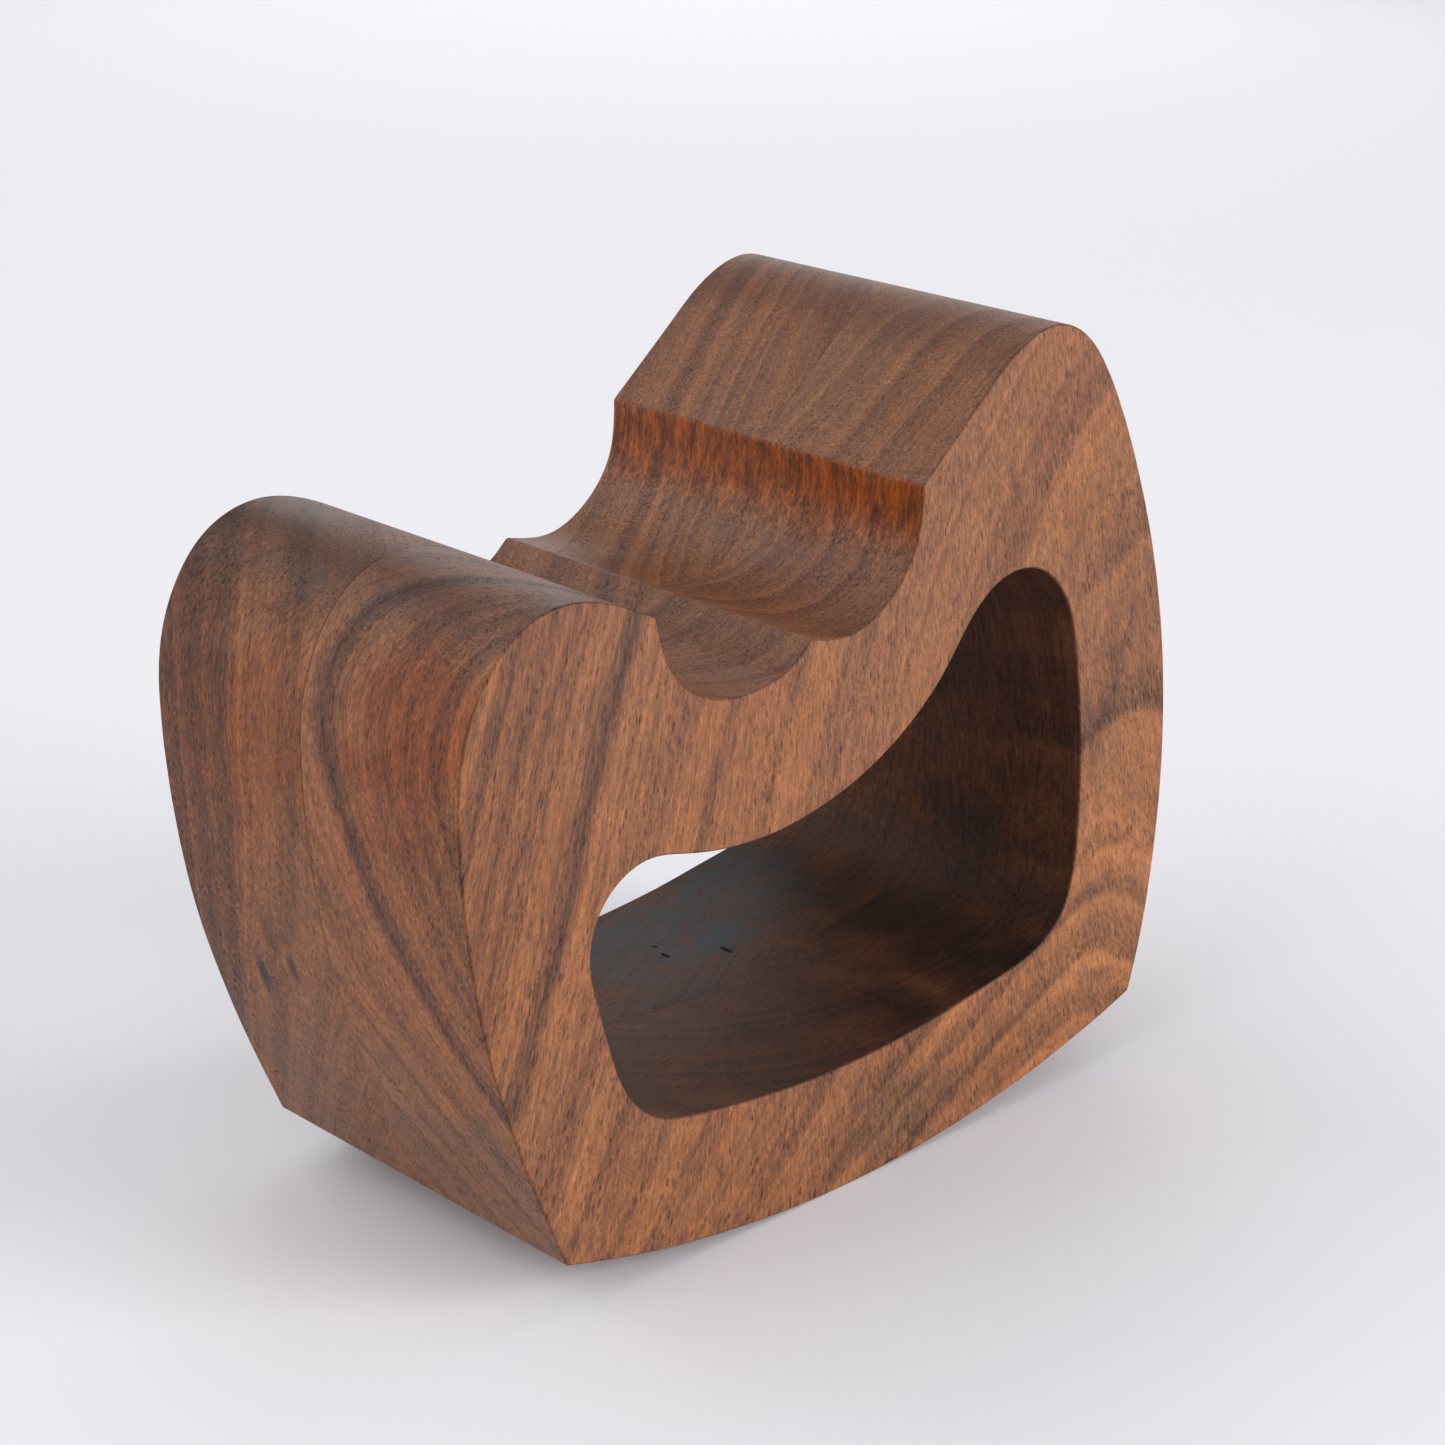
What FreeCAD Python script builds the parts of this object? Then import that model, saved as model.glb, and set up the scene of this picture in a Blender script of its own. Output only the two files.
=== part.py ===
import FreeCAD, Part
import os

# Phone stand carved from two walnut boards glued face to face.
# The block is one closed side profile, swept straight across the width of the
# stand, with one window cut right through from side to side.  The upright glue
# joint runs down the middle, so each board is one half of the width: a left
# board at +Y and a right board at -Y, as seen by the user.
#
# Units are millimetres.  +Z is up, the user sits at -X and the high rear peak
# is at +X, and the block runs across from -Y to +Y.  The origin is at the
# bottom centre of the bounding box: the lowest line of the bowed underside
# lies on Z = 0 with the block at rest, balanced on that line.

# ---- driving dimensions ------------------------------------------------------
width_y = 50.0            # across the stand, side face to side face
glue_y = 0.0              # the upright glue joint between the boards
base_radius = 159.24      # bow of the underside
base_low_x = 2.0          # where the underside meets the table at rest
front_corner_x = -42.65   # sharp lower edge at the front
rear_corner_x = 54.55     # sharp lower edge at the rear
lip_edge = (-31.45, 77.25)     # inner edge of the front lip
ridge = (-8.00, 69.90)         # sharp ridge between the two troughs
rest_edge = (9.15, 84.00)      # lower edge of the sloping rest face
peak_z = 99.05                 # top of the rounded peak
corner_r = 0.7                 # hand-eased edges that run across the block
arris_r = 0.5                  # hand-eased outline edges of the two side faces

# ---- free curves of the side profile, (x, z) from end to end -----------------
# bowed front face, lower edge up and over the rounded lip
front_face = [(-45.62, 12.90), (-48.38, 19.30), (-50.86, 25.75),
              (-53.12, 32.40), (-54.94, 39.15), (-56.33, 46.05),
              (-57.33, 53.00), (-57.90, 59.95), (-57.72, 66.95),
              (-55.55, 73.70), (-51.20, 78.95), (-44.75, 81.25),
              (-37.85, 80.15)]
# front trough that takes the lower edge of the phone
front_trough = [(-30.40, 73.57), (-28.50, 70.26), (-25.60, 67.78),
                (-22.07, 66.32), (-18.28, 65.86), (-14.47, 66.24),
                (-10.82, 67.45)]
# rear trough under the rest face
rear_trough = [(-4.70, 69.25), (-1.35, 69.12), (1.87, 70.10), (4.72, 71.96),
               (7.01, 74.38), (8.55, 77.32), (9.15, 80.64)]
# flat rest face, rounded peak and bowed rear face down to the rear corner
rest_run = (17.46, 91.35)
peak_and_rear = [(21.45, 94.90), (26.12, 97.88), (31.20, peak_z),
                 (36.55, 97.15), (40.44, 93.25), (43.48, 88.66),
                 (48.43, 78.82), (52.48, 68.58), (55.44, 57.98),
                 (57.26, 47.11), (57.95, 36.13), (57.50, 25.12),
                 (55.92, 14.23)]
# window, one closed loop
window_loop = [(-37.60, 47.75), (-31.98, 50.62), (-25.71, 49.70),
               (-19.43, 48.68), (-13.06, 48.58), (-6.74, 49.38),
               (-0.61, 51.06), (5.21, 53.66), (10.52, 57.18),
               (15.10, 61.63), (19.05, 66.75), (24.00, 70.22),
               (30.24, 70.27), (35.18, 66.60), (38.00, 60.89),
               (39.42, 54.66), (40.45, 48.38), (41.12, 42.06),
               (41.40, 35.69), (41.15, 29.32), (38.98, 23.50),
               (33.66, 20.17), (27.43, 18.85), (21.14, 17.80),
               (14.82, 16.96), (8.48, 16.38), (2.11, 16.09),
               (-4.26, 16.12), (-10.63, 16.50), (-16.97, 17.16),
               (-23.29, 18.06), (-29.44, 19.75), (-33.99, 23.94),
               (-36.59, 29.75), (-38.52, 35.81), (-39.84, 42.01)]


def base_z(x):
    """Height of the bowed underside at x."""
    return base_radius - (base_radius ** 2 - (x - base_low_x) ** 2) ** 0.5


def at(p):
    return FreeCAD.Vector(p[0], 0.0, p[1])


def curve(points):
    c = Part.BSplineCurve()
    c.interpolate([at(p) for p in points])
    return c.toShape()


front_corner = (front_corner_x, base_z(front_corner_x))
rear_corner = (rear_corner_x, base_z(rear_corner_x))

edges = [
    curve([front_corner] + front_face + [lip_edge]),
    curve([lip_edge] + front_trough + [ridge]),
    curve([ridge] + rear_trough + [rest_edge]),
    Part.LineSegment(at(rest_edge), at(rest_run)).toShape(),
]
rear = Part.BSplineCurve()
slope = at(rest_run) - at(rest_edge)
slope.normalize()
rear_pts = [at(rest_run)] + [at(p) for p in peak_and_rear] + [at(rear_corner)]
down = (rear_pts[-1] - rear_pts[-2])
down.normalize()
rear.interpolate(Points=rear_pts, InitialTangent=slope, FinalTangent=down,
                 Scale=False)
edges.append(rear.toShape())
edges.append(Part.Arc(at(rear_corner), at((base_low_x, 0.0)),
                      at(front_corner)).toShape())
profile = Part.Wire(edges)

loop = Part.BSplineCurve()
loop.interpolate(Points=[at(p) for p in window_loop], PeriodicFlag=True)
window = Part.Wire([loop.toShape()])


def board(y_glue, y_out):
    """One board of the block, from the glue joint out to its side face."""
    start = FreeCAD.Vector(0, y_glue, 0)
    across = FreeCAD.Vector(0, y_out - y_glue, 0)
    blank, hole = Part.Face(profile), Part.Face(window)
    blank.translate(start)
    hole.translate(start)
    b = blank.extrude(across).cut(hole.extrude(across))

    # hand-eased edges across the block: lower corners, lip, ridge, rest face
    sharp = []
    for e in b.Edges:
        v = [w.Point for w in e.Vertexes]
        if len(v) == 2 and abs(v[0].y - v[1].y) > 1.0:
            for p in (front_corner, rear_corner, lip_edge, ridge, rest_edge):
                if abs(v[0].x - p[0]) < 1e-3 and abs(v[0].z - p[1]) < 1e-3:
                    sharp.append(e)
    b = b.makeFillet(corner_r, sharp)

    # hand-eased rim round the side face and the mouth of the window
    rim = []
    for e in b.Edges:
        mid = e.valueAt((e.FirstParameter + e.LastParameter) / 2.0).y
        ys = [v.Point.y for v in e.Vertexes] + [mid]
        if all(abs(y - y_out) < 1e-6 for y in ys):
            rim.append(e)
    b = b.makeFillet(arris_r, rim)
    if b.ShapeType == "Compound" and len(b.Solids) == 1:
        b = b.Solids[0]
    assert b.isValid() and len(b.Solids) == 1, "board is not one solid"
    return b


os.makedirs("parts", exist_ok=True)
for name, y_out in (("board_left", width_y / 2.0),
                    ("board_right", -width_y / 2.0)):
    b = board(glue_y, y_out)
    b.exportStep("parts/%s.step" % name)
    bb = b.optimalBoundingBox(True, False)
    print("%s %.2f x %.2f x %.2f mm, x %.3f..%.3f, z from %.3f, volume %.0f, "
          "centre of mass x %.3f z %.3f, faces %d" % (
              name, bb.XLength, bb.YLength, bb.ZLength, bb.XMin, bb.XMax,
              bb.ZMin, b.Volume, b.CenterOfMass.x, b.CenterOfMass.z,
              len(b.Faces)))
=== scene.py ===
"""Phone stand of two face-glued walnut boards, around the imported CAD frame.

Everything is in metres in the row frame: +X from the front lip to the rear peak,
+Y across the block (left board), -Y (right board), +Z up.
"""

import math

import bpy
import numpy as np
from mathutils import Matrix, Vector
from mathutils.geometry import delaunay_2d_cdt


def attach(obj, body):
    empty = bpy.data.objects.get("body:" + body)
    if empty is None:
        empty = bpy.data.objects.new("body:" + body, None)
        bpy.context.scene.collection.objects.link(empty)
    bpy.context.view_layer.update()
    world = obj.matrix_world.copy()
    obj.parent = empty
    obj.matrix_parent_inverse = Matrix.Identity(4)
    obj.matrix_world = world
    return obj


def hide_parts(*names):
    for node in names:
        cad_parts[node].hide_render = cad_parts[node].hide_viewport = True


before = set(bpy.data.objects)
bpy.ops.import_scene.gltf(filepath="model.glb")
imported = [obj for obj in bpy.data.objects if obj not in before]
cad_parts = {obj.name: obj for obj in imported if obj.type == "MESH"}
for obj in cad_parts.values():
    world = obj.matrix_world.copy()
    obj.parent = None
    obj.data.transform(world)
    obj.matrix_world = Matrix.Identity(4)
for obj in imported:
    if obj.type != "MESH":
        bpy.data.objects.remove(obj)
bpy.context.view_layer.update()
scene = bpy.context.scene
MM = 0.001

# ------------------------------------------------------------------ outline --
# the side profile of the block, (x, z) in millimetres, as in the CAD
WIDTH_Y = 50.0
BASE_R, BASE_X = 159.24, 2.0
LIP_EDGE = (-31.45, 77.25)
RIDGE = (-8.00, 69.90)
REST_EDGE = (9.15, 84.00)
REST_RUN = (17.46, 91.35)
CORNER_R = 0.7
FRONT_FACE = [(-45.62, 12.90), (-48.38, 19.30), (-50.86, 25.75),
              (-53.12, 32.40), (-54.94, 39.15), (-56.33, 46.05),
              (-57.33, 53.00), (-57.90, 59.95), (-57.72, 66.95),
              (-55.55, 73.70), (-51.20, 78.95), (-44.75, 81.25),
              (-37.85, 80.15)]
FRONT_TROUGH = [(-30.40, 73.57), (-28.50, 70.26), (-25.60, 67.78),
                (-22.07, 66.32), (-18.28, 65.86), (-14.47, 66.24),
                (-10.82, 67.45)]
REAR_TROUGH = [(-4.70, 69.25), (-1.35, 69.12), (1.87, 70.10), (4.72, 71.96),
               (7.01, 74.38), (8.55, 77.32), (9.15, 80.64)]
PEAK_AND_REAR = [(21.45, 94.90), (26.12, 97.88), (31.20, 99.05),
                 (36.55, 97.15), (40.44, 93.25), (43.48, 88.66),
                 (48.43, 78.82), (52.48, 68.58), (55.44, 57.98),
                 (57.26, 47.11), (57.95, 36.13), (57.50, 25.12),
                 (55.92, 14.23)]
WINDOW = [(-37.60, 47.75), (-31.98, 50.62), (-25.71, 49.70), (-19.43, 48.68),
          (-13.06, 48.58), (-6.74, 49.38), (-0.61, 51.06), (5.21, 53.66),
          (10.52, 57.18), (15.10, 61.63), (19.05, 66.75), (24.00, 70.22),
          (30.24, 70.27), (35.18, 66.60), (38.00, 60.89), (39.42, 54.66),
          (40.45, 48.38), (41.12, 42.06), (41.40, 35.69), (41.15, 29.32),
          (38.98, 23.50), (33.66, 20.17), (27.43, 18.85), (21.14, 17.80),
          (14.82, 16.96), (8.48, 16.38), (2.11, 16.09), (-4.26, 16.12),
          (-10.63, 16.50), (-16.97, 17.16), (-23.29, 18.06), (-29.44, 19.75),
          (-33.99, 23.94), (-36.59, 29.75), (-38.52, 35.81), (-39.84, 42.01)]


def spline(points, step, d0=None, d1=None, closed=False):
    """C2 cubic through the points, sampled every `step` mm."""
    p = np.array(points, float)
    if closed:
        p = np.vstack([p, p[:1]])
    t = np.r_[0, np.cumsum(np.hypot(*np.diff(p, axis=0).T))]
    h = np.diff(t)
    n = len(p)
    if closed:
        n -= 1
        A = np.zeros((n, n))
        B = np.zeros((n, 2))
        for i in range(n):
            hm, hp = h[(i - 1) % n], h[i]
            A[i, (i - 1) % n] += 1 / hm
            A[i, i] += 2 * (1 / hm + 1 / hp)
            A[i, (i + 1) % n] += 1 / hp
            B[i] = 3 * ((p[i] - p[(i - 1) % n]) / hm ** 2
                        + (p[i + 1] - p[i]) / hp ** 2)
        m = np.linalg.solve(A, B)
        m = np.vstack([m, m[:1]])
    else:
        A = np.zeros((n, n))
        B = np.zeros((n, 2))
        for i in range(1, n - 1):
            A[i, i - 1] = 1 / h[i - 1]
            A[i, i] = 2 * (1 / h[i - 1] + 1 / h[i])
            A[i, i + 1] = 1 / h[i]
            B[i] = 3 * ((p[i] - p[i - 1]) / h[i - 1] ** 2
                        + (p[i + 1] - p[i]) / h[i] ** 2)
        for i, j, d in ((0, 1, d0), (n - 1, n - 2, d1)):
            A[i, i] = 1.0
            if d is None:
                A[i, i], A[i, j] = 2.0, 1.0
                B[i] = 3 * (p[j] - p[i]) / (t[j] - t[i])
            else:
                B[i] = np.array(d) / np.hypot(*d)
        m = np.linalg.solve(A, B)
    k = max(2, int(round(t[-1] / step)))
    s = np.linspace(0, t[-1], k + 1)
    i = np.clip(np.searchsorted(t, s, side="right") - 1, 0, len(h) - 1)
    u = ((s - t[i]) / h[i])[:, None]
    hh = h[i][:, None]
    return ((2 * u ** 3 - 3 * u ** 2 + 1) * p[i]
            + (u ** 3 - 2 * u ** 2 + u) * hh * m[i]
            + (-2 * u ** 3 + 3 * u ** 2) * p[i + 1]
            + (u ** 3 - u ** 2) * hh * m[i + 1])


def base_z(x):
    return BASE_R - math.sqrt(BASE_R ** 2 - (x - BASE_X) ** 2)


def outline(step):
    """The closed outer outline, with its five sharp corners eased."""
    a = (-42.65, base_z(-42.65))
    f = (54.55, base_z(54.55))
    run = np.array(REST_RUN) - np.array(REST_EDGE)
    down = np.array(f) - np.array(PEAK_AND_REAR[-1])
    rest = spline([REST_EDGE, REST_RUN], step)
    rear = spline([REST_RUN] + PEAK_AND_REAR + [f], step, run, down)
    t0 = math.atan2(f[0] - BASE_X, BASE_R - f[1])
    t1 = math.atan2(a[0] - BASE_X, BASE_R - a[1])
    th = np.linspace(t0, t1, int(BASE_R * (t0 - t1) / step))
    base = np.c_[BASE_X + BASE_R * np.sin(th), BASE_R - BASE_R * np.cos(th)]
    runs = [spline([a] + FRONT_FACE + [LIP_EDGE], step),
            spline([LIP_EDGE] + FRONT_TROUGH + [RIDGE], step),
            spline([RIDGE] + REAR_TROUGH + [REST_EDGE], step),
            np.vstack([rest[:-1], rear]), base]
    return ease(runs, CORNER_R)


def ease(runs, r):
    """Joins open runs end to end into one loop, with an arc at each corner."""
    runs = [np.array(q, float) for q in runs]
    n = len(runs)
    arcs = []
    for i in range(n):
        p, q = runs[i], runs[(i + 1) % n]
        corner = p[-1]
        for _ in range(3):
            tp = p[-1] - p[-2]
            tq = q[1] - q[0]
            tp, tq = tp / np.hypot(*tp), tq / np.hypot(*tq)
            turn = math.acos(max(-1, min(1, float(tp @ tq))))
            cut = r * math.tan(turn / 2)
        dp = np.hypot(*(p - corner).T)
        dq = np.hypot(*(q - corner).T)
        kp = np.nonzero(dp[::-1] > cut)[0][0]
        kq = np.nonzero(dq > cut)[0][0]
        p = p[:len(p) - kp]
        q = q[kq:]
        # exact cut points
        def on(d_far, far):
            v = far - corner
            return corner + v / np.hypot(*v) * cut
        pe, qe = on(None, p[-1]), on(None, q[0])
        w = (pe - corner) / np.hypot(*(pe - corner))
        v = (qe - corner) / np.hypot(*(qe - corner))
        bis = (w + v) / np.hypot(*(w + v))
        cen = corner + bis * (r / math.sin((math.pi - turn) / 2))
        a0 = math.atan2(*(pe - cen)[::-1])
        a1 = math.atan2(*(qe - cen)[::-1])
        da = (a1 - a0 + math.pi) % (2 * math.pi) - math.pi
        m = 7
        ang = a0 + da * np.linspace(0, 1, m)
        rr = np.hypot(*(pe - cen))
        arcs.append(cen + rr * np.c_[np.cos(ang), np.sin(ang)])
        runs[i] = p
        runs[(i + 1) % n] = q
    out = []
    for i in range(n):
        out.append(runs[i])
        out.append(arcs[i])
    pts = np.vstack(out)
    keep = [0]
    for i in range(1, len(pts)):
        if np.hypot(*(pts[i] - pts[keep[-1]])) > 0.03:
            keep.append(i)
    pts = pts[keep]
    if np.hypot(*(pts[-1] - pts[0])) < 0.03:
        pts = pts[:-1]
    return pts


def normals_of(loop, outward):
    """Unit normals of a closed loop of points."""
    t = np.roll(loop, -1, 0) - np.roll(loop, 1, 0)
    n = np.c_[t[:, 1], -t[:, 0]]
    n /= np.hypot(*n.T)[:, None]
    x, z = loop.T
    area = 0.5 * np.sum(x * np.roll(z, -1) - np.roll(x, -1) * z)
    if (area < 0) == outward:
        n = -n
    return n


# -------------------------------------------------------------------- board --
def wave(x, z, seed):
    """Slow smooth variation along an edge, -1 to 1, always the same."""
    return (math.sin(x * 0.31 + seed) + math.sin(z * 0.27 + 2.1 * seed)
            + math.sin((x + z) * 0.113 + 3.7 * seed)
            + 0.6 * math.sin((x - 1.3 * z) * 0.71 + seed)) / 3.6


def make_board(name, side):
    """One board from the glue joint (y = 0) to its side face (y = side * 25)."""
    outer = outline(0.6)
    inner = spline(WINDOW, 0.7, closed=True)[:-1]
    loops = [(outer, normals_of(outer, True)), (inner, normals_of(inner, False))]
    half = WIDTH_Y / 2.0
    verts, norms, faces, bore = [], [], [], []
    rims = []          # indices of the side-face loops
    joints = []
    arc = 5
    for li, (loop, nrm) in enumerate(loops):
        n = len(loop)
        rows = []
        # hand-eased arris: radius varies slowly round the rim
        rad = np.array([0.32 + 0.08 * wave(x, z, 1.3 + li + (side > 0) * 2.2)
                        for x, z in loop])
        ys = [0.0, 0.035] + list(np.linspace(1.2, half - 0.8, 20))
        rows_y = [(y, None) for y in ys] + [(None, k) for k in range(arc + 1)]
        for ri, (y, k) in enumerate(rows_y):
            row = []
            for i in range(n):
                (x, z), (nx, nz) = loop[i], nrm[i]
                if k is None:
                    inset = 0.05 if ri == 0 else 0.0   # hairline at the joint
                    yy, px, pz = y, x - nx * inset, z - nz * inset
                    N = (nx, 0.0, nz)
                else:
                    a = k / arc * math.pi / 2
                    r = rad[i]
                    inset = r * (1 - math.cos(a))
                    yy = half - r + r * math.sin(a)
                    px, pz = x - nx * inset, z - nz * inset
                    N = (nx * math.cos(a), math.sin(a), nz * math.cos(a))
                row.append(len(verts))
                verts.append((px * MM, side * yy * MM, pz * MM))
                norms.append((N[0], side * N[1], N[2]))
                bore.append(float(li) if k is None else li * (1 - k / arc))
            rows.append(row)
        x, z = loop.T
        area = np.sum(x * np.roll(z, -1) - np.roll(x, -1) * z)
        flip = (area > 0) == (side > 0)
        if li == 1:
            flip = not flip
        for r0, r1 in zip(rows[:-1], rows[1:]):
            for i in range(n):
                j = (i + 1) % n
                q = (r0[i], r0[j], r1[j], r1[i])
                faces.append(q[::-1] if flip else q)
        joints.append(rows[0])
        rims.append(rows[-1])
    # the flat side face and the joint face, triangulated round the window
    for idx, ny in ((rims, side), (joints, -side)):
        pts, edges = [], []
        back = []
        rings = [np.array([(verts[v][0] / MM, verts[v][2] / MM) for v in ring])
                 for ring in idx]
        for ring in idx:
            s = len(pts)
            m = len(ring)
            for v in ring:
                pts.append(Vector((verts[v][0] / MM, verts[v][2] / MM)))
                back.append(v)
            edges += [(s + i, s + (i + 1) % m) for i in range(m)]
        if ny == side:
            gx = np.arange(-58, 58.1, 1.6)
            gz = np.arange(0, 99.1, 1.4)
            P0 = np.array([(p.x, p.y) for p in pts])
            for j, z in enumerate(gz):
                for x in gx + (0.8 if j % 2 else 0.0):
                    if inside(x, z, rings[0]) and not inside(x, z, rings[1]):
                        d = np.min(np.hypot(P0[:, 0] - x, P0[:, 1] - z))
                        if d > 1.1:
                            pts.append(Vector((x, z)))
                            back.append(None)
        out_v, _, out_f, orig_v, _, _ = delaunay_2d_cdt(pts, edges, [], 0, 1e-5)
        y = side * half if ny == side else 0.0
        remap = []
        for k, v in enumerate(out_v):
            src = [o for o in orig_v[k] if back[o] is not None]
            if src:
                remap.append(back[src[0]])
            else:
                remap.append(len(verts))
                verts.append((v.x * MM, y * MM, v.y * MM))
                norms.append((0.0, float(ny), 0.0))
                bore.append(0.0)
        for f in out_f:
            c = sum((np.array(out_v[k]) for k in f), np.zeros(2)) / len(f)
            if not inside(c[0], c[1], rings[0]) or inside(c[0], c[1], rings[1]):
                continue
            a, b, d = (np.array(out_v[k]) for k in f[:3])
            up = np.cross(np.r_[b - a, 0], np.r_[d - a, 0])[2]
            # an x-z triangle that turns left faces -Y
            want = ny < 0
            g = [remap[k] for k in f]
            faces.append(tuple(g) if (up > 0) == want else tuple(g[::-1]))
    me = bpy.data.meshes.new(name)
    me.from_pydata(verts, [], faces)
    me.validate()
    me.update()
    ob = bpy.data.objects.new(name, me)
    scene.collection.objects.link(ob)
    for p in me.polygons:
        p.use_smooth = True
    # exact normals: analytic on the curved walls, flat on the joint face
    joint_set = set(v for ring in joints for v in ring)
    cn = []
    for p in me.polygons:
        flat_joint = abs(p.normal.y) > 0.9 and abs(p.center.y) < 1e-6
        for v in p.vertices:
            cn.append((0.0, float(-side), 0.0) if flat_joint else norms[v])
    me.normals_split_custom_set(cn)
    # how far round the hand-eased arris each vertex is, for its slight wear (a rougher finish)
    # and its painted shade (a darker colour)
    arris_wear_and_shade = me.attributes.new("arris", "FLOAT", "POINT")
    for i, v in enumerate(norms):
        arris_wear_and_shade.data[i].value = min(1.0, 2.0 * min(abs(v[1]), math.hypot(v[0], v[2])))
    # the window's wall: its colour is darkened there as painted shade, its grain is calmer and
    # its finish rougher
    deep = me.attributes.new("bore", "FLOAT", "POINT")
    for i, v in enumerate(bore):
        deep.data[i].value = v
    return ob


def inside(x, z, loop):
    """Even-odd test of one point against a closed loop."""
    X, Z = loop[:, 0], loop[:, 1]
    X2, Z2 = np.roll(X, -1), np.roll(Z, -1)
    hit = (Z > z) != (Z2 > z)
    xs = X + (z - Z) * (X2 - X) / np.where(hit, Z2 - Z, 1.0)
    return bool(np.sum(hit & (x < xs)) % 2)


# ------------------------------------------------------------------- walnut --
# growth-ring field of each board: G = sum c * (x/50)^a * (y/25)^b * ((z-50)/50)^c
# in millimetres; surfaces of equal G are the rings, in arcs round a far centre
RINGS_RIGHT = {
    (0, 0, 1): -9.902, (0, 0, 2): 1.633, (0, 0, 3): -2.241, (0, 1, 0): 11.638,
    (0, 1, 1): -6.822, (0, 1, 2): 1.152, (0, 2, 0): -1.605, (0, 2, 1): -0.316,
    (1, 0, 0): 17.545, (1, 0, 1): -3.477, (1, 0, 2): 0.085, (1, 1, 0): 6.063,
    (1, 1, 1): -5.522, (1, 2, 0): -1.296, (2, 0, 0): -1.927, (2, 0, 1): 0.423,
    (2, 1, 0): 2.337, (3, 0, 0): -0.438}
RINGS_LEFT = {
    (0, 0, 1): -8.725, (0, 0, 2): 1.626, (0, 0, 3): -2.412, (0, 1, 0): -11.464,
    (0, 1, 1): 7.710, (0, 1, 2): -1.040, (0, 2, 0): -1.550, (0, 2, 1): -0.242,
    (1, 0, 0): 18.948, (1, 0, 1): -4.916, (1, 0, 2): 0.496, (1, 1, 0): -6.378,
    (1, 1, 1): 4.581, (1, 2, 0): -1.361, (2, 0, 0): -1.648, (2, 0, 1): 1.675,
    (2, 1, 0): -2.110, (3, 0, 0): -1.175}
G_MIN, G_MAX = -36.0, 12.0
# how light the wood is at each ring, 0 dark heart streak, 1 palest band
TONE_RIGHT = [(-36, 0.47), (-32.2, 0.36), (-31.35, 0.65), (-30.9, 0.47), (-30.4, 0.33),
              (-29.9, 0.56), (-29.2, 0.40), (-28.5, 0.52), (-27.5, 0.39),
              (-26.8, 0.57), (-25.8, 0.53), (-25.4, 0.40), (-24.95, 0.30),
              (-24.65, 0.36), (-24.3, 0.60), (-24.1, 0.61), (-23, 0.58), (-22, 0.48),
              (-21.6, 0.46), (-20.4, 0.60), (-19.6, 0.60), (-19.15, 0.40),
              (-18.7, 0.57), (-17.1, 0.57), (-16.65, 0.45), (-16.2, 0.65),
              (-14.9, 0.54), (-14.2, 0.43), (-13.8, 0.59), (-13, 0.53), (-11.7, 0.59),
              (-11, 0.50), (-10.2, 0.46), (-9.6, 0.61), (-8.9, 0.56), (-8.35, 0.50),
              (-7.95, 0.42), (-7.4, 0.63), (-7, 0.63), (-6.5, 0.53), (-6.2, 0.60),
              (-5.8, 0.49), (-5.2, 0.51), (-4.6, 0.62), (-4.2, 0.53), (-3.9, 0.59),
              (-2, 0.58), (0, 0.51), (3, 0.59), (8, 0.51)]
TONE_LEFT = [(-36, 0.29), (-33, 0.38), (-30.5, 0.41), (-28.5, 0.30), (-27.9, 0.40),
             (-27.1, 0.29), (-26.6, 0.40), (-25.95, 0.28), (-25.35, 0.54),
             (-24.7, 0.49), (-24.1, 0.57), (-23.3, 0.44), (-22.8, 0.45), (-22.1, 0.56),
             (-21, 0.52), (-20.5, 0.49), (-19.3, 0.55), (-18.2, 0.47), (-17.8, 0.54),
             (-16.8, 0.49), (-15.9, 0.45), (-14.5, 0.54), (-12.6, 0.60), (-11.4, 0.47),
             (-10.6, 0.49), (-9.9, 0.63), (-9, 0.52), (-8.35, 0.42), (-7.5, 0.65),
             (-7, 0.58), (-6.55, 0.46), (-6.05, 0.62), (-5.8, 0.58), (-5.3, 0.49),
             (-4.7, 0.61), (-4.3, 0.46), (-3.4, 0.61), (-2.9, 0.56), (-2.4, 0.48),
             (-1, 0.61), (1, 0.52), (4, 0.61), (8, 0.54)]
WOOD = [(0.00, (0.026, 0.012, 0.009)), (0.22, (0.076, 0.030, 0.0155)),
        (0.42, (0.146, 0.055, 0.0255)), (0.58, (0.226, 0.084, 0.0335)),
        (0.78, (0.328, 0.124, 0.046)), (1.00, (0.45, 0.190, 0.078))]


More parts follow.
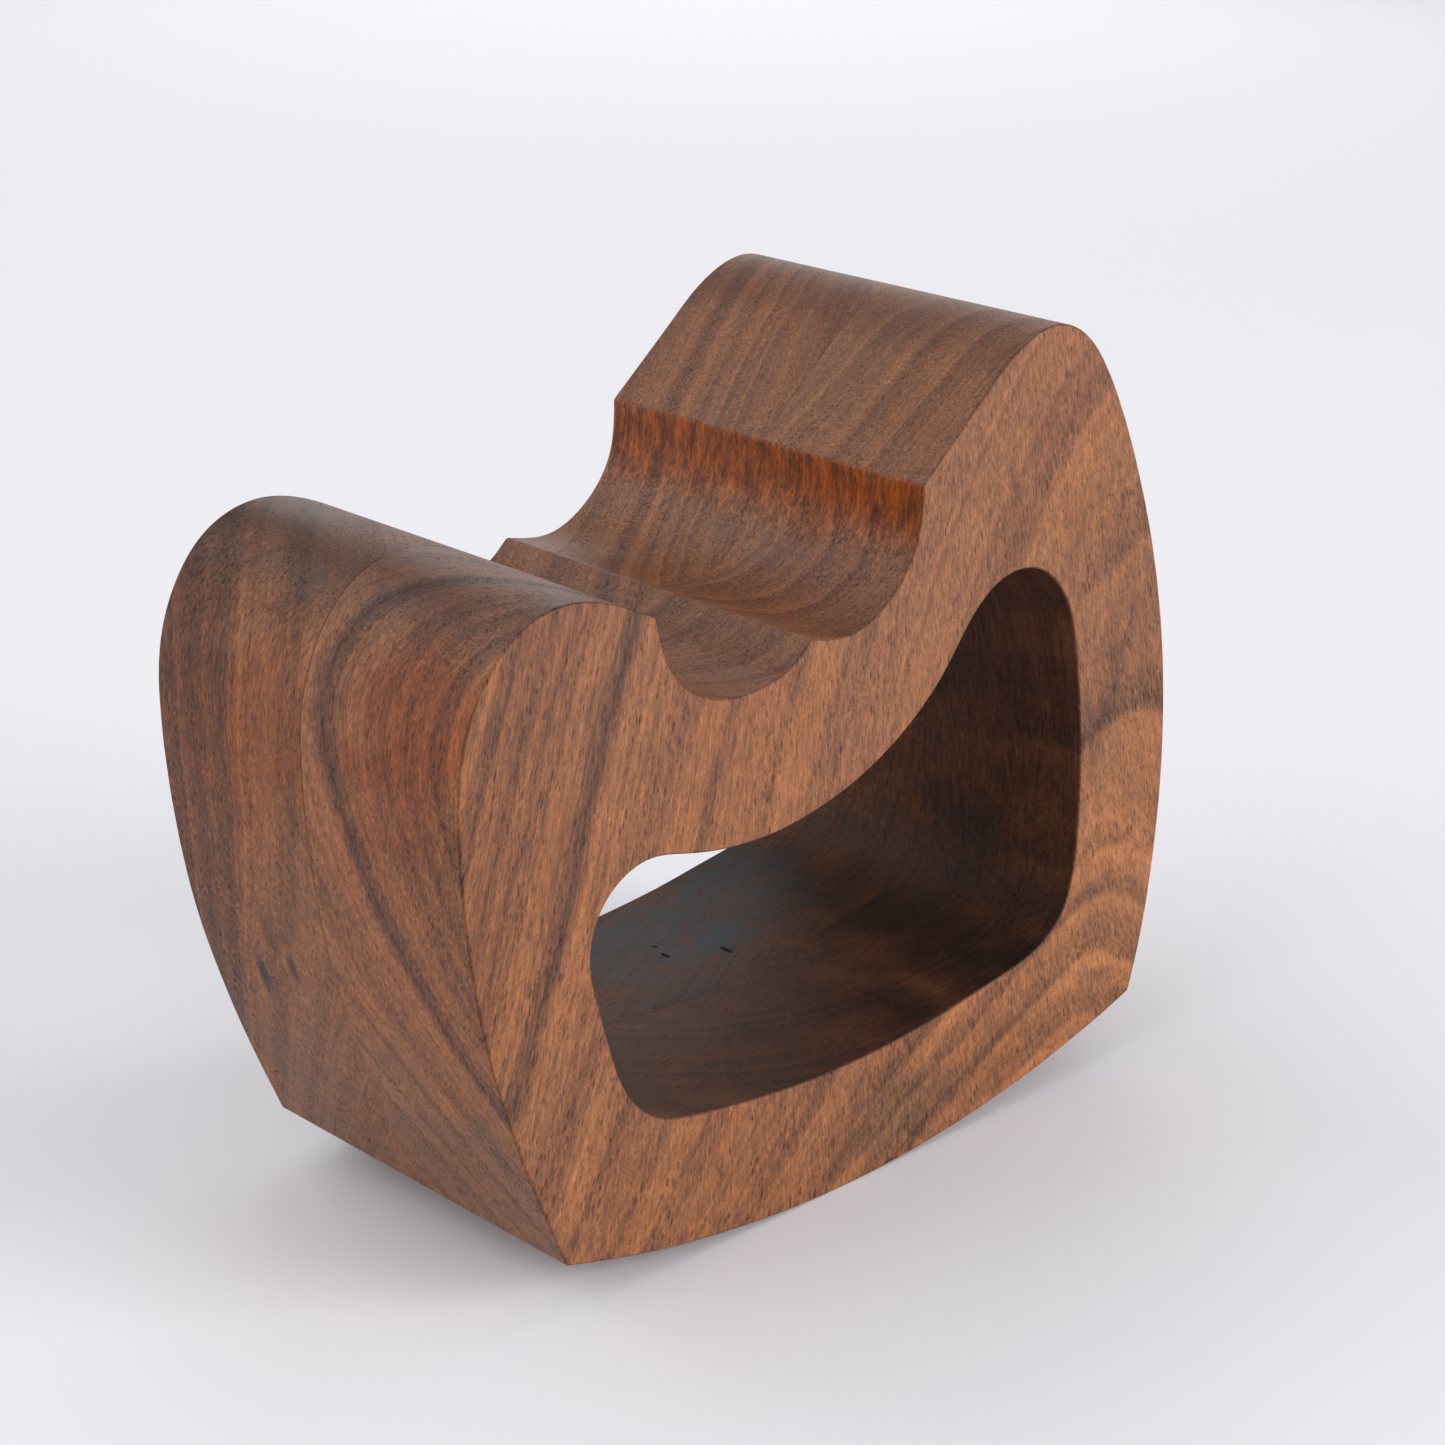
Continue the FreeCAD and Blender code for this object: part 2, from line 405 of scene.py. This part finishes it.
class Net:
    """Short hand for building one node tree."""

    def __init__(self, mat):
        mat.use_nodes = True
        self.t = mat.node_tree
        self.t.nodes.clear()

    def node(self, kind, **props):
        n = self.t.nodes.new(kind)
        for k, v in props.items():
            setattr(n, k, v)
        return n

    def put(self, socket, value):
        if isinstance(value, bpy.types.NodeSocket):
            self.t.links.new(value, socket)
        else:
            socket.default_value = value

    def m(self, op, *args, clamp=False):
        n = self.node("ShaderNodeMath", operation=op, use_clamp=clamp)
        for i, v in enumerate(args):
            self.put(n.inputs[i], v)
        return n.outputs[0]

    def v(self, op, *args):
        n = self.node("ShaderNodeVectorMath", operation=op)
        for i, v in enumerate(args):
            self.put(n.inputs[i], v)
        return n.outputs["Value"] if op in ("LENGTH", "DOT_PRODUCT") else n.outputs[0]

    def vec(self, x, y, z):
        n = self.node("ShaderNodeCombineXYZ")
        for i, v in enumerate((x, y, z)):
            self.put(n.inputs[i], v)
        return n.outputs[0]

    def parts(self, vec):
        n = self.node("ShaderNodeSeparateXYZ")
        self.put(n.inputs[0], vec)
        return n.outputs[0], n.outputs[1], n.outputs[2]

    def noise(self, vec, detail=2.0, rough=0.5, scale=1.0, color=False):
        n = self.node("ShaderNodeTexNoise", noise_dimensions="3D")
        self.put(n.inputs["Vector"], vec)
        n.inputs["Scale"].default_value = scale
        n.inputs["Detail"].default_value = detail
        n.inputs["Roughness"].default_value = rough
        return n.outputs["Color" if color else "Fac"]

    def noise1(self, w, detail=2.0, rough=0.5):
        n = self.node("ShaderNodeTexNoise", noise_dimensions="1D")
        self.put(n.inputs["W"], w)
        n.inputs["Scale"].default_value = 1.0
        n.inputs["Detail"].default_value = detail
        n.inputs["Roughness"].default_value = rough
        return n.outputs["Fac"]

    def cells(self, vec):
        n = self.node("ShaderNodeTexVoronoi", voronoi_dimensions="3D", feature="F1")
        self.put(n.inputs["Vector"], vec)
        n.inputs["Scale"].default_value = 1.0
        return n.outputs["Distance"], n.outputs["Color"]

    def step(self, x, lo, hi, out_lo=0.0, out_hi=1.0):
        """Smooth step of x from lo to hi."""
        n = self.node("ShaderNodeMapRange", interpolation_type="SMOOTHSTEP")
        for i, v in enumerate((x, lo, hi, out_lo, out_hi)):
            self.put(n.inputs[i], v)
        return n.outputs[0]

    def ramp(self, x, stops, lo=0.0, hi=1.0, mode="LINEAR"):
        n = self.node("ShaderNodeValToRGB")
        r = n.color_ramp
        r.interpolation = mode
        while len(r.elements) > 1:
            r.elements.remove(r.elements[-1])
        for i, (at, c) in enumerate(stops):
            pos = (at - lo) / (hi - lo)
            e = r.elements[0] if i == 0 else r.elements.new(pos)
            e.position = pos
            e.color = tuple(c) + (1.0,) if hasattr(c, "__len__") else (c, c, c, 1.0)
        self.put(n.inputs[0], x if (lo, hi) == (0.0, 1.0) else
                 self.m("DIVIDE", self.m("SUBTRACT", x, lo), hi - lo))
        return n.outputs[0]

    def mix(self, fac, a, b, mode="MIX"):
        n = self.node("ShaderNodeMix", data_type="RGBA", blend_type=mode)
        self.put(n.inputs[0], fac)
        for k, v in ((6, a), (7, b)):
            if isinstance(v, tuple) and len(v) == 3:
                v = v + (1.0,)
            self.put(n.inputs[k], v)
        return n.outputs[2]

    def poly(self, coef, x, y, z):
        """Horner form of the cubic ring field."""
        def line(values, t):
            acc = values[-1]
            for v in values[-2::-1]:
                acc = self.m("MULTIPLY_ADD", acc, t, v)
            return acc
        rows = []
        for b in range(3):
            cols = []
            for a in range(4 - b):
                zs = [coef.get((a, b, c), 0.0) for c in range(4 - a - b)]
                cols.append(line(zs, z) if len(zs) > 1 else zs[0])
            rows.append(line(cols, x))
        return line(rows, y)


def walnut(name, rings, tone, seed, hue, knots=(), stains_and_painted_light=(), pits=(), crests=()):
    mat = bpy.data.materials.new(name)
    N = Net(mat)
    out = N.node("ShaderNodeOutputMaterial")
    bsdf = N.node("ShaderNodeBsdfPrincipled")
    N.t.links.new(bsdf.outputs[0], out.inputs["Surface"])
    tc = N.node("ShaderNodeTexCoord")
    pos = N.v("MULTIPLY", tc.outputs["Object"], (1000.0, 1000.0, 1000.0))
    x, y, z = N.parts(pos)
    sh = N.v("ADD", pos, (seed * 37.0, seed * 11.0, seed * 23.0))

    # rings, with the slow waver of real growth
    g = N.poly(rings, N.m("DIVIDE", x, 50.0), N.m("DIVIDE", y, 25.0),
               N.m("MULTIPLY_ADD", z, 0.02, -1.0))
    slow = N.noise(N.v("MULTIPLY", sh, (0.060, 0.075, 0.040)), 1.0)
    quick = N.noise(N.v("MULTIPLY", sh, (0.30, 0.30, 0.075)), 2.0)
    g = N.m("MULTIPLY_ADD", N.m("SUBTRACT", slow, 0.5), 0.45, g)
    g = N.m("MULTIPLY_ADD", N.m("SUBTRACT", quick, 0.5), 0.36, g)
    for (kx, ky, kz), r, _ in knots:      # rings swerve round a knot
        d = N.v("LENGTH", N.v("MULTIPLY", N.v("SUBTRACT", pos, (kx, ky, kz)),
                              (0.12 / r, 0.5 / r, 0.36 / r)))
        g = N.m("MULTIPLY_ADD", N.step(d, 0.0, 1.6, 1.0, 0.0), 0.9, g)

    # fibre space: the grain leans out at both ends of the block
    e = N.m("EXPONENT", N.m("MULTIPLY_ADD", z, 0.005, -0.25))
    p = N.m("SUBTRACT", N.m("MULTIPLY", N.m("ADD", x, 12.0), e), 12.0)
    raw = N.vec(p, y, z)
    wob = N.noise(N.v("ADD", N.v("MULTIPLY", raw, (0.11, 0.11, 0.030)),
                      (seed * 5.0, 0.0, 0.0)), 2.0, color=True)
    wob = N.v("MULTIPLY", N.v("SUBTRACT", wob, (0.5, 0.5, 0.5)), (2.6, 2.6, 0.0))
    fib = N.v("ADD", N.v("ADD", raw, wob), (seed * 9.0, seed * 7.0, 0.0))

    geo = N.node("ShaderNodeNewGeometry")
    across = N.m("ABSOLUTE", N.v("DOT_PRODUCT", geo.outputs["Normal"], (0.0, 1.0, 0.0)))
    flank = N.step(across, 0.5, 0.85)          # 1 on the flat side faces
    bored = N.node("ShaderNodeAttribute", attribute_name="bore").outputs["Fac"]

    # bands between the rings
    low = [q for q in tone if q[0] <= -16.6]
    high = [q for q in tone if q[0] >= low[-1][0]]
    tone_v = N.m("ADD", N.m("MULTIPLY", N.ramp(g, low, G_MIN, G_MAX),
                            N.m("LESS_THAN", g, low[-1][0])),
                 N.m("MULTIPLY", N.ramp(g, high, G_MIN, G_MAX),
                     N.m("SUBTRACT", 1.0, N.m("LESS_THAN", g, low[-1][0]))))
    band = N.noise1(N.m("MULTIPLY_ADD", g, 1.15, seed * 13.0), 3.0, 0.62)
    thin = N.noise1(N.m("MULTIPLY_ADD", g, 3.6, seed * 17.0), 2.0, 0.6)
    streak = N.noise(N.v("MULTIPLY", fib, (0.62, 0.62, 0.024)), 3.0, 0.6)
    mottle = N.noise(N.v("MULTIPLY", fib, (1.8, 1.8, 0.50)), 2.0, 0.6)
    fine = N.noise(N.v("MULTIPLY", fib, (4.2, 4.2, 0.85)), 3.0, 0.66)
    long = N.noise(N.v("MULTIPLY", fib, (3.6, 3.6, 0.22)), 3.0, 0.66)
    straight = N.m("MULTIPLY", flank, N.step(x, 16.0, -14.0))
    fine = N.m("MULTIPLY_ADD", N.m("SUBTRACT", long, fine),
               N.m("MULTIPLY", straight, 0.75), fine)
    grit = N.noise(N.v("MULTIPLY", fib, (6.5, 6.5, 3.0)), 1.0, 0.5)
    cloud = N.noise(N.v("MULTIPLY", sh, (0.10, 0.10, 0.16)), 2.0, 0.55)
    crest = None
    if crests:
        # ring tops grazed by the side face show as nested arcs
        dx = N.m("SUBTRACT", x, N.m("MULTIPLY_ADD", z, 0.17, 42.6))
        arc = N.m("SQRT", N.m("MULTIPLY_ADD", dx, dx, 25.0))
        h = N.m("ADD", N.m("MULTIPLY_ADD", arc, 0.62, -3.1), z)
        h = N.m("MULTIPLY_ADD", N.m("SUBTRACT", quick, 0.5), 2.2, h)
        h = N.m("MULTIPLY_ADD", N.m("SUBTRACT", fine, 0.5), 0.5, h)
        crest = N.m("MULTIPLY", N.m("SUBTRACT", N.ramp(h, crests, 0.0, 100.0), 0.5), 1.25)
        reach = N.step(N.m("MULTIPLY_ADD", z, -0.65, x), -9.0, 1.0)
        crest = N.m("MULTIPLY", crest, N.m("MULTIPLY", reach, N.step(y, -12.0, -18.0)))
    t = tone_v if crest is None else N.m("ADD", tone_v, crest)
    for tex, amp in ((band, 0.20), (thin, 0.34), (streak, 0.26), (mottle, 0.52),
                     (fine, 0.80), (grit, 0.42), (cloud, 0.22)):
        t = N.m("MULTIPLY_ADD", N.m("SUBTRACT", tex, 0.5), amp, t)
    # inside the window the rings are calmer and the thin ones fade
    rings_in = N.m("MULTIPLY", N.m("SUBTRACT", band, 0.5), 0.15)
    rings_in = N.m("MULTIPLY_ADD", N.m("SUBTRACT", thin, 0.5), -0.30, rings_in)
    rings_in = N.m("MULTIPLY_ADD", N.m("SUBTRACT", tone_v, 0.5), -0.40, rings_in)
    rings_in = N.m("MULTIPLY_ADD", N.m("SUBTRACT", cloud, 0.5), 0.55, rings_in)
    t = N.m("MULTIPLY_ADD", rings_in, bored, t)
    # faces cut along the grain show its long streaks, most of all the trough wall
    facing = N.m("ABSOLUTE", N.v("DOT_PRODUCT", geo.outputs["Normal"], (1.0, 0.0, 0.0)))
    riven = N.noise(N.v("MULTIPLY", fib, (1.5, 1.5, 0.045)), 3.0, 0.62)
    wall = N.m("MULTIPLY", N.step(x, 5.0, 8.0), N.m("SUBTRACT", 1.0, bored))
    riven = N.m("MULTIPLY", N.m("SUBTRACT", riven, 0.5), N.step(facing, 0.70, 0.96))
    t = N.m("MULTIPLY_ADD", riven, N.m("MULTIPLY_ADD", wall, 1.00,
                                           N.m("MULTIPLY_ADD", bored, 0.40, 0.34)), t)
    t = N.m("ADD", t, hue)
    col = N.ramp(t, WOOD)

    # warmer and greyer drifts across the block
    drift = N.noise(N.v("MULTIPLY", sh, (0.035, 0.05, 0.028)), 2.0)
    col = N.mix(N.step(drift, 0.40, 0.68, 0.0, 0.55), col,
                N.mix(1.0, col, (1.0, 0.90, 0.78), "MULTIPLY"))
    grey = N.mix(1.0, col, (0.92, 0.97, 1.04), "MULTIPLY")
    col = N.mix(N.step(drift, 0.50, 0.28, 0.0, 0.6), col, grey)

    # open pores: long vessels, cut as dashes along the grain and dots across it
    early = N.noise1(N.m("MULTIPLY_ADD", g, 1.9, seed * 3.0 + 4.0), 1.0)
    clump = N.m("ADD", N.m("MULTIPLY", early, 0.5), N.m("MULTIPLY", mottle, 0.5))
    clump = N.m("MULTIPLY_ADD", N.m("SUBTRACT", 0.5, tone_v), 0.9, clump)
    clump = N.m("MULTIPLY_ADD", N.m("SUBTRACT", cloud, 0.5), 0.7, clump)
    clump = N.m("MULTIPLY_ADD", bored, -0.12, clump)
    if crest is not None:
        clump = N.m("MULTIPLY_ADD", crest, -1.6, clump)
    d1, c1 = N.cells(N.v("MULTIPLY", fib, (1.9, 1.9, 0.46)))
    r1, r2, _ = N.parts(c1)
    rad = N.m("ADD", N.m("MULTIPLY", r1, 0.14), N.m("MULTIPLY_ADD", clump, 0.34, -0.02))
    vessel = N.m("SUBTRACT", 1.0, N.m("DIVIDE", N.m("SUBTRACT", d1, N.m("SUBTRACT", rad, 0.04)),
                                      0.09, clamp=True))
    vessel = N.m("MULTIPLY", vessel, N.m("MULTIPLY_ADD", r2, 0.5, 0.5))
    d2, c2 = N.cells(N.v("MULTIPLY", fib, (3.0, 3.0, 1.0)))
    q1, q2, _ = N.parts(c2)
    rad2 = N.m("ADD", N.m("MULTIPLY", q1, 0.20), N.m("MULTIPLY_ADD", clump, 0.50, -0.06))
    small = N.m("SUBTRACT", 1.0, N.m("DIVIDE", N.m("SUBTRACT", d2, N.m("SUBTRACT", rad2, 0.10)),
                                     0.18, clamp=True))
    small = N.m("MULTIPLY", small, N.m("MULTIPLY_ADD", q2, 0.8, 0.2))
    pore = N.m("MAXIMUM", vessel, N.m("MULTIPLY", small, 0.72))
    dark = N.mix(1.0, col, (0.27, 0.22, 0.22), "MULTIPLY")
    side = N.m("MULTIPLY_ADD", flank, 0.24, 0.54)
    col = N.mix(N.m("MULTIPLY", pore, side), col, dark)

    # knots, then patches: stains, tone patches, and painted light and shade
    for (kx, ky, kz), r, k in knots:
        d = N.v("LENGTH", N.v("MULTIPLY", N.v("SUBTRACT", pos, (kx, ky, kz)),
                              (0.12 / r, 1.15 / r, 0.42 / r)))
        d = N.m("MULTIPLY_ADD", N.m("SUBTRACT", fine, 0.5), 0.9, d)
        col = N.mix(N.m("MULTIPLY", N.step(d, 1.35, 0.25), k), col, (0.030, 0.023, 0.023))
    for (sx, sy, sz), (ra, rb, rc), k, tint, *upright in stains_and_painted_light:
        # a patch placed outside the block belongs to that side face only
        here = flank if abs(sy) > 25.0 else N.m("SUBTRACT", 1.0, flank)
        if upright:                       # only where the wood faces along the block
            here = N.m("MULTIPLY", here, N.step(facing, 0.67, 0.82))
        d = N.v("LENGTH", N.v("DIVIDE", N.v("SUBTRACT", pos, (sx, sy, sz)), (ra, rb, rc)))
        d = N.m("MULTIPLY_ADD", N.m("SUBTRACT", cloud, 0.5), 1.6, d)
        d = N.m("MULTIPLY_ADD", N.m("SUBTRACT", fine, 0.5), 0.5, d)
        col = N.mix(N.m("MULTIPLY", N.m("MULTIPLY", N.step(d, 1.3, 0.35), here), k), col,
                    N.mix(N.step(streak, 0.36, 0.72, 0.0, 0.75), tint + (1.0,), col)
                    if tint[0] < 0.2 else N.mix(1.0, col, tint, "MULTIPLY"))

    for (sx, sy, sz), (ra, rb, rc) in pits:
        d = N.v("LENGTH", N.v("DIVIDE", N.v("SUBTRACT", pos, (sx, sy, sz)), (ra, rb, rc)))
        d = N.m("MULTIPLY_ADD", N.m("SUBTRACT", fine, 0.5), 0.7, d)
        pit = N.step(d, 1.15, 0.75)
        col = N.mix(pit, col, (0.0015, 0.0012, 0.001))
        pore = N.m("MAXIMUM", pore, pit)

    # glue line, and painted shade on the eased edges
    ay = N.m("ABSOLUTE", y)
    glue = N.step(ay, 0.15, 0.04)
    clear = N.m("MULTIPLY", N.step(x, -44.0, -50.0), N.step(z, 34.0, 46.0))
    col = N.mix(N.m("MULTIPLY", glue, N.m("MULTIPLY_ADD", clear, 0.38, 0.22)), col,
                (0.030, 0.016, 0.012))
    arris_wear_and_shade = N.node("ShaderNodeAttribute", attribute_name="arris").outputs["Fac"]
    # painted shade: the rounded arris is darkened in colour
    col = N.mix(N.m("MULTIPLY", arris_wear_and_shade, 0.55), col,
                N.mix(1.0, col, (0.62, 0.60, 0.60), "MULTIPLY"))
    # end grain, on the faces that look up the block, is tinted greyer and bluer
    along = N.m("ABSOLUTE", N.v("DOT_PRODUCT", geo.outputs["Normal"], (0.0, 0.0, 1.0)))
    col = N.mix(N.step(along, 0.20, 0.95), col,
                N.mix(1.0, col, (0.87, 0.93, 1.12), "MULTIPLY"))
    # painted shade: the window's wall is darkened strongly in colour
    col = N.mix(N.m("MULTIPLY", bored, 0.92), col,
                N.mix(1.0, col, (0.38, 0.31, 0.26), "MULTIPLY"))
    N.put(bsdf.inputs["Base Color"], col)

    rough = N.m("MULTIPLY_ADD", N.m("SUBTRACT", fine, 0.5), 0.22, 0.44)
    rough = N.m("MULTIPLY_ADD", N.m("SUBTRACT", cloud, 0.5), 0.10, rough)
    rough = N.m("MULTIPLY_ADD", pore, 0.28, rough)
    rough = N.m("MULTIPLY_ADD", bored, 0.20, rough)
    N.put(bsdf.inputs["Roughness"], N.m("MULTIPLY_ADD", arris_wear_and_shade, 0.16, rough))
    bsdf.inputs["IOR"].default_value = 1.47
    bsdf.inputs["Specular IOR Level"].default_value = 0.28

    high = N.m("MULTIPLY_ADD", fine, 0.22, N.m("MULTIPLY", pore, -1.0))
    high = N.m("MULTIPLY_ADD", glue, N.m("MULTIPLY_ADD", clear, -0.6, -0.2), high)
    bump = N.node("ShaderNodeBump")
    bump.inputs["Strength"].default_value = 0.55
    bump.inputs["Distance"].default_value = 0.00006
    N.put(bump.inputs["Height"], high)
    N.put(bsdf.inputs["Normal"], bump.outputs[0])
    return mat


# --------------------------------------------------------------------- main --
right = make_board("walnut_board_right", -1)
left = make_board("walnut_board_left", +1)
KNOTS = [((-52.4, 14.6, 30.2), 1.2, 1.0), ((-53.3, 8.0, 33.6), 0.95, 0.95),
         ((-53.8, 11.0, 37.0), 1.3, 0.45)]
# painted bounce light: the trough's back wall is tinted strong orange to stand in for light
# reflected between the wood faces
WALL_BOUNCE_LIGHT = ((9.6, 0.0, 81.3), (4.2, 90.0, 6.0), 1.0, (0.94, 0.55, 0.12), True)
# painted shade: darkens the far end of the window
WINDOW_DEEP_SHADE = ((34.0, -3.0, 24.0), (19.0, 60.0, 15.0), 0.85, (0.64, 0.64, 0.62))
# painted shade: darkens the top of the rear peak
PEAK_SHADE = ((29.0, 0.0, 99.0), (12.0, 90.0, 6.0), 0.9, (0.72, 0.71, 0.74))
SHEEN = ((7.5, 6.0, 75.1), (7.0, 30.0, 5.0), 0.90, (1.03, 1.12, 1.38))
# painted shade: darkens the near end of the rear trough floor
DUSK = ((3.0, -23.0, 72.0), (9.0, 18.0, 8.0), 0.8, (0.86, 0.83, 0.86))
TROUGH = ((-11.4, 0.0, 67.1), (8.0, 60.0, 5.0), 0.9, (0.92, 0.97, 1.06))
# the window floor's bluish-grey mineral stain, lightened further as painted sheen
PALE_FLOOR_STAIN_AND_SHEEN = ((-5.0, 2.0, 16.4), (16.0, 12.0, 4.5), 0.85, (1.10, 1.34, 1.48))
# more of the bluish-grey mineral stain on the window floor, partly painted sheen
FLOOR_BLUE_STAIN_AND_SHEEN = ((12.0, 1.0, 16.8), (10.0, 9.0, 5.0), 0.80, (0.86, 1.20, 1.45))
# painted shade: darkens the rear corner of the window floor
NOOK_SHADE = ((31.0, 0.0, 19.5), (8.0, 30.0, 4.0), 0.70, (0.62, 0.72, 0.76))
# the first entry is the bluish-grey mineral stain on the window floor, made light enough to
# stand in for its sheen as well (painted sheen)
STAINS_AND_PAINTED_LIGHT_LEFT = [((17.0, 15.5, 17.0), (23.0, 12.5, 8.0), 0.95, (0.112, 0.140, 0.158)),
          ((21.0, 14.3, 17.8), (5.5, 3.4, 4.0), 0.90, (0.199, 0.122, 0.080)),
          ((-57.0, 9.0, 63.0), (10.0, 16.0, 12.0), 0.85, (0.98, 0.77, 0.52)),
          ((-58.0, 13.0, 52.0), (9.0, 10.0, 9.0), 0.60, (1.14, 1.08, 1.00)),
          ((-55.5, 19.0, 78.0), (9.0, 11.0, 9.0), 0.90, (0.78, 0.68, 0.56)),
          # painted shade: darkens the top of the lip
          ((-44.0, 10.0, 83.0), (18.0, 26.0, 9.0), 0.9, (0.46, 0.43, 0.46)),
          ((-45.0, 13.0, 12.0), (12.0, 18.0, 13.0), 0.80, (0.86, 0.97, 1.10)),
          WINDOW_DEEP_SHADE, PEAK_SHADE, SHEEN, DUSK, TROUGH, PALE_FLOOR_STAIN_AND_SHEEN, FLOOR_BLUE_STAIN_AND_SHEEN, NOOK_SHADE, WALL_BOUNCE_LIGHT]
PATCHES_AND_PAINTED_LIGHT_RIGHT = [((-57.0, -19.0, 64.0), (9.0, 15.0, 12.0), 0.60, (0.90, 0.76, 0.54)),
        ((56.0, -27.0, 26.0), (34.0, 30.0, 62.0), 0.85, (1.05, 1.02, 0.84)),
        ((30.0, -27.0, 84.0), (18.0, 12.0, 20.0), 0.80, (0.97, 0.95, 0.84)),
        ((11.0, -26.0, 7.5), (11.0, 9.0, 7.0), 1.0, (0.66, 0.77, 0.84)),
        ((45.0, -26.0, 14.0), (9.0, 9.0, 8.0), 0.80, (1.14, 1.18, 1.14)),
        ((-56.5, -16.5, 70.0), (8.0, 9.0, 12.0), 0.95, (1.06, 0.74, 0.45)),
        ((-45.0, -13.0, 13.0), (12.0, 18.0, 14.0), 0.90, (0.80, 0.95, 1.18)),
        # painted shade: darkens the top of the lip
        ((-44.0, -8.0, 83.0), (16.0, 20.0, 8.0), 0.8, (0.55, 0.51, 0.53)),
        ((17.0, -19.0, 90.0), (13.0, 10.0, 9.0), 0.80, (1.00, 0.92, 0.84)),
        ((34.5, -27.0, 93.0), (3.0, 9.0, 6.0), 0.75, (0.84, 0.80, 0.80)),
        ((30.5, -27.0, 85.0), (3.2, 9.0, 6.0), 0.80, (0.82, 0.78, 0.79)),
        ((25.5, -27.0, 77.0), (3.0, 9.0, 6.0), 0.75, (0.84, 0.80, 0.80)),
        # painted shade: darkens the window floor
        ((0.0, -18.0, 16.0), (30.0, 10.0, 6.0), 0.60, (0.84, 0.84, 0.85)),
        WINDOW_DEEP_SHADE, PEAK_SHADE, SHEEN, DUSK, TROUGH, PALE_FLOOR_STAIN_AND_SHEEN, FLOOR_BLUE_STAIN_AND_SHEEN, NOOK_SHADE, WALL_BOUNCE_LIGHT]
PITS = [((12.3, 6.0, 16.7), (0.36, 1.15, 2.0)), ((6.1, 10.6, 16.2), (0.34, 0.80, 2.0)),
        ((6.9, 13.3, 16.2), (0.28, 0.38, 2.0))]
# where the ring tops come out of the side face, and how strongly
CRESTS = [(0.0, 0.48), (5.0, 0.48), (8.0, 0.58), (9.0, 0.43), (12.5, 0.49), (16.2, 0.59),
          (17.3, 0.39), (20.5, 0.48), (23.8, 0.57), (24.9, 0.38), (28.0, 0.49), (30.1, 0.58),
          (31.4, 0.42), (35.0, 0.48), (42.0, 0.52), (47.6, 0.56), (49.0, 0.33), (52.0, 0.41),
          (55.0, 0.50), (62.0, 0.53), (69.6, 0.57), (72.0, 0.43), (78.0, 0.48), (100.0, 0.50)]
mat_r = walnut("walnut_right", RINGS_RIGHT, TONE_RIGHT, 1.0, 0.0, (), PATCHES_AND_PAINTED_LIGHT_RIGHT, (), CRESTS)
mat_l = walnut("walnut_left", RINGS_LEFT, TONE_LEFT, 2.0, 0.0, KNOTS, STAINS_AND_PAINTED_LIGHT_LEFT, PITS)
for ob, node, slot, mat in ((right, "board_right", "walnut_right", mat_r),
                            (left, "board_left", "walnut_left", mat_l)):
    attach(ob, "root")
    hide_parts(node)
    ob.data.materials.append(mat)

# -------------------------------------------------------------------- stage --
fl = bpy.data.meshes.new("floor")
fl.from_pydata([(-3, -3, 0), (3, -3, 0), (3, 3, 0), (-3, 3, 0)], [], [(0, 1, 2, 3)])
floor = bpy.data.objects.new("floor", fl)
scene.collection.objects.link(floor)
fm = bpy.data.materials.new("floor")
fm.use_nodes = True
fm.node_tree.nodes["Principled BSDF"].inputs["Base Color"].default_value = (0.80, 0.797, 0.84, 1)
fm.node_tree.nodes["Principled BSDF"].inputs["Roughness"].default_value = 0.9
fl.materials.append(fm)

world = bpy.data.worlds.new("world")
scene.world = world
world.use_nodes = True
world.node_tree.nodes["Background"].inputs[0].default_value = (1.0, 1.0, 1.0, 1)
world.node_tree.nodes["Background"].inputs[1].default_value = 0.51

# soft studio light: large round panels aimed at the middle of the block, and a far one facing
# straight down
LEFT, AWAY, UP = Vector((-0.706, 0.7075, 0)), Vector((0.71, 0.70, 0)), Vector((0, 0, 1))
AIM = Vector((0, 0, 0.04))


def panel(name, left, away, up, energy, size=0.9, dist=1.3):
    data = bpy.data.lights.new(name, "AREA")
    data.shape = "DISK"
    data.size = size
    data.energy = energy
    ob = bpy.data.objects.new(name, data)
    scene.collection.objects.link(ob)
    ob.location = AIM + (LEFT * left + AWAY * away + UP * up).normalized() * dist
    ob.rotation_euler = (AIM - ob.location).to_track_quat("-Z", "Y").to_euler()
    return ob


panel("panel_right_low", -1.0, -0.3, 0.25, 18.0)
panel("panel_behind", 0.0, 1.0, 0.45, 2.0)
panel("panel_front_left", 0.7, -0.7, 0.7, 3.6)
panel("panel_left_low", 1.0, -0.3, 0.25, 4.0)
panel("panel_left", 0.8, 0.3, 0.8, 3.2)
far = panel("panel_far", 0.0, 1.0, 1.0, 1.5, 1.2)
far.location = AWAY * 1.6 + UP * 1.1
far.rotation_euler = (0.0, 0.0, 0.0)
far.data.spread = math.radians(110.0)

# ------------------------------------------------------------------- camera --
cam_d = bpy.data.cameras.new("camera")
cam = bpy.data.objects.new("camera", cam_d)
scene.collection.objects.link(cam)
cam_d.sensor_width = 36.0
cam_d.lens = 36.0 * 3082.12 / 1445.0
cam_d.clip_start = 0.01
cam_d.clip_end = 50.0
rgt = Vector((0.70609073, -0.70753832, 0.02872985))
dwn = Vector((-0.22349613, -0.26116986, -0.93906325))
fwd = Vector((0.6719266, 0.65664285, -0.34254169))
M = Matrix((rgt, -dwn, -fwd)).transposed().to_4x4()
M.translation = Vector((-240.2595, -238.8879, 175.1535)) * MM
cam.matrix_world = M
scene.camera = cam

scene.view_settings.view_transform = "Standard"
